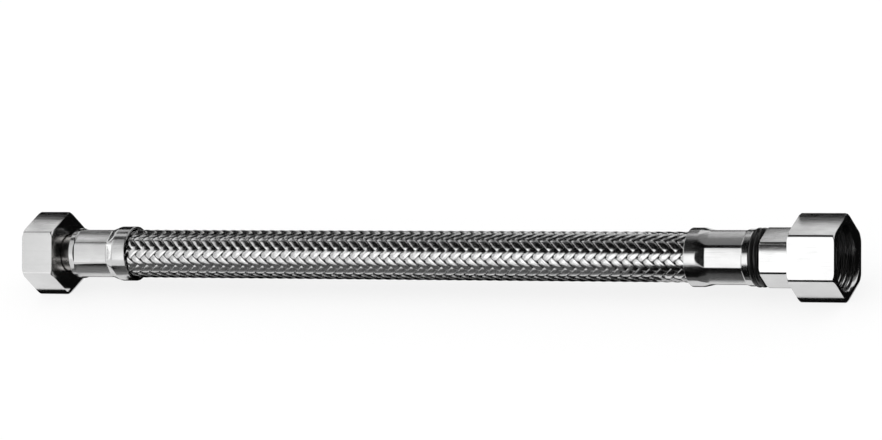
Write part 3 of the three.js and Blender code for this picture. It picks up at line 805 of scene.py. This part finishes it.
def floor_finish():
    """Pale paint mixed with a glow, whose share is 1 - PAINT_SHARE for what is seen and 0 for other light."""
    f = Finish("floor_pale")
    camera_ray, glossy_ray, clear_ray = (
        f.node("ShaderNodeLightPath", {}, {}, f"Is {kind} Ray") for kind in ("Camera", "Glossy", "Transmission"))
    seen = camera_ray + glossy_ray + clear_ray
    paint = f.node("ShaderNodeBsdfDiffuse", {}, {"Color": grey(FLOOR_GREY)})
    glow = f.node("ShaderNodeEmission", {}, {"Color": grey(1), "Strength": FLOOR_GLOW})
    mixed = f.node("ShaderNodeMixShader", {}, {0: seen * (1 - PAINT_SHARE), 1: paint, 2: glow})
    f.node("ShaderNodeOutputMaterial", {}, {"Surface": mixed})
    return f.material


# %% Make the floor and the world
def sheet(name, corners, material):
    """A flat piece of the stage inside its corners."""
    mesh = bpy.data.meshes.new(name)
    mesh.from_pydata([tuple(corner) for corner in corners], [], [tuple(range(len(corners)))])
    mesh.materials.append(material)
    made = bpy.data.objects.new(name, mesh)
    bpy.context.scene.collection.objects.link(made)
    return made


def level(x, y, z):
    """Corners of a level rectangle between two places along X and two along Y."""
    return [(x[0], y[0], z), (x[1], y[0], z), (x[1], y[1], z), (x[0], y[1], z)]


FLOOR_HALF = 6
sheet("floor", level((-FLOOR_HALF, FLOOR_HALF), (-FLOOR_HALF, FLOOR_HALF), 0), floor_finish())
world = bpy.data.worlds.new("studio")
world.use_nodes = True
world.node_tree.nodes["Background"].inputs["Color"].default_value = grey(1)
world.node_tree.nodes["Background"].inputs["Strength"].default_value = 1
bpy.context.scene.world = world
print(f"floor {2 * FLOOR_HALF} m across, world at strength 1")

# %% [markdown]
# ## Soft boxes
# Bright metal is a picture of its surroundings, so the surroundings are the real light. A view that comes from
# the direction v and meets a surface with the normal n goes on in the direction 2 (n . v) n - v, and the surface
# shows whatever stands there. Two boxes at the front left stand where the flats that face the viewer look, one
# for each half of the hose, and a third at the far left lights the slopes that face left.

# %% Soft boxes
HOSE_CENTRE = Vector((0, 0, AXIS))


def soft_box(name, place, width, height, radiance):
    """An area lamp towards the hose, as bright as a white surface of that radiance."""
    lamp = bpy.data.lights.new(name, "AREA")
    lamp.shape = "RECTANGLE"
    lamp.size, lamp.size_y = width, height
    lamp.energy = radiance * math.pi * width * height
    box = bpy.data.objects.new(name, lamp)
    look = (HOSE_CENTRE - Vector(place)).to_track_quat("-Z", "Y")
    box.matrix_world = Matrix.LocRotScale(Vector(place), look, None)
    box.visible_camera = False
    bpy.context.scene.collection.objects.link(box)
    print(f"{name}: {lamp.energy:.2f} W")


soft_box("front_box", (-0.225, -0.8, 0.32), 0.34, 0.52, 0.62)
soft_box("front_left_box", (-0.52, -0.8, 0.31), 0.22, 0.52, 0.45)
soft_box("left_card_light", (-0.95, -0.1, 0.25), 0.6, 0.5, 1.0)

# %% [markdown]
# ## Black and grey cards
# In a white room every surface of bright metal would be white. What has to look dark must see something dark, so
# cards stand beside the camera, hang overhead and lie on the floor, each where the formula above sends the view.
# A far card darkens every surface of one slope. A small card close to the hose darkens one piece alone, such as
# the band along the top of a nut. Only reflections see the cards, and the light of the lamps passes through them.
# The one exception hangs above the collar. It has to hide the front box from the collar, so it casts a shadow.

# %% Finishes of the cards
def card_finish(name, radiance):
    """A card that is equally bright from everywhere, so that its grey can be read straight from the picture."""
    f = Finish(name)
    glow = f.node("ShaderNodeEmission", {}, {"Color": grey(1), "Strength": radiance})
    f.node("ShaderNodeOutputMaterial", {}, {"Surface": glow})
    return f.material


black, dark = card_finish("card_black", 0.004), card_finish("card_dark", 0.12)
dim, pale = card_finish("card_dim", 0.24), card_finish("card_pale", 0.745)


# %% Corners of a card
def facing(centre, width, height, target):
    """Corners of a rectangle about its centre, square to the line from there to the target."""
    centre, ahead = Vector(centre), (Vector(target) - Vector(centre)).normalized()
    beside = Vector((0, 0, 1)).cross(ahead).normalized()
    above = ahead.cross(beside)
    signs = ((-1, -1), (1, -1), (1, 1), (-1, 1))
    return [centre + beside * width * i / 2 + above * height * j / 2 for i, j in signs]


def upright(x, y, z):
    """Corners of an upright rectangle behind the hose, between two places along X and two heights."""
    return [(x[0], y, z[0]), (x[1], y, z[0]), (x[1], y, z[1]), (x[0], y, z[1])]


# %% Far cards
ROOF = 0.62
CARDS = {
    "card_camera_side": (black, facing((0.75, -1.1, 0.5), 1.9, 1.8, HOSE_CENTRE)),
    "card_right": (black, facing((0.95, -0.15, 0.25), 1.0, 1.2, HOSE_CENTRE)),
    "card_back_right": (black, upright((0.2, 0.75), 0.55, (0, 0.33))),
    "card_left": (pale, facing((-0.88, -0.7, 0.31), 0.54, 0.62, HOSE_CENTRE)),
    "card_overhead": (black, level((-0.44, 1.1), (-0.6, 0.13), ROOF)),
    "card_overhead_back": (dim, level((-0.44, 1.1), (0.13, 0.38), ROOF)),
    "card_overhead_far": (black, level((-0.63, -0.275), (0.38, 0.8), ROOF)),
    "card_back_left": (black, upright((-0.63, -0.275), 0.8, (0, ROOF))),
    "card_overhead_left": (black, level((-1.3, -0.44), (0.04, 0.22), ROOF)),
}
print(len(CARDS), "far cards")

# %% Cards on the floor
LIFT = 0.4 * mm
FLOOR_CARDS = {
    "card_floor_left": (black, (-107, -95), (-31, -12.5)),
    "card_floor_braid": (dark, (-95, 54), (-50, -12.5)),
    "card_under_left": (dim, (-107, -88), (-12.5, -8.5)),
    "card_under_braid_front": (dim, (-88, 63), (-12.5, -9.5)),
    "card_under_braid": (black, (-88, 63), (-7.5, -3)),
    "card_under_right": (dark, (63, 96), (-12.5, -8.5)),
    "card_floor_back": (black, (-130, 115), (-3, 30)),
    "card_floor_back_left": (black, (-107, -35), (30, 90)),
    "card_floor_back_right": (black, (115, 900), (-3, 500)),
    "card_under_left_nut": (black, (-117, -103), (-6.9, -3)),
    "card_under_right_nut": (black, (100, 113.6), (-6.9, -3)),
    "card_floor_right": (black, (113.6, 900), (-12.5, -3)),
}
for name, (finish, x, y) in FLOOR_CARDS.items():
    CARDS[name] = finish, level([u * mm for u in x], [u * mm for u in y], LIFT)
FRONT_CORNERS = (54, -12.5), (54, -31), (-315, -820), (900, -820), (900, -12.5)
CARDS["card_floor_front"] = black, [(x * mm, y * mm, LIFT) for x, y in FRONT_CORNERS]
print(len(FLOOR_CARDS) + 1, "cards on the floor")

# %% Cards close to the hose
BEHIND = 14 * mm
BEHIND_CARDS = {
    "card_behind_left": ((-109.5, -86), (14, 22)),
    "card_behind_right": ((58, 83), (14, 22)),
    "card_behind_collar": ((83, 96.5), (17, 22.9)),
    "card_behind_left_nut": ((-123, -109.5), (19, 26.8)),
    "card_behind_right_nut": ((96.5, 111), (19, 26.8)),
}
for name, (x, z) in BEHIND_CARDS.items():
    CARDS[name] = black, upright([u * mm for u in x], BEHIND, [u * mm for u in z])
CARDS["card_above_collar"] = black, level((88.6 * mm, 98.3 * mm), (-12.2 * mm, -7.5 * mm), 18.5 * mm)
print(len(BEHIND_CARDS) + 1, "cards close to the hose")

# %% Hang the cards
for name, (finish, corners) in CARDS.items():
    card = sheet(name, corners, finish)
    card.visible_camera = card.visible_diffuse = False
    card.visible_shadow = name == "card_above_collar"

# %% [markdown]
# ## Finish
# The look is kept plain: the Standard view transform shows each colour as it is written.

# %% Set the view transform
bpy.context.scene.view_settings.view_transform = "Standard"
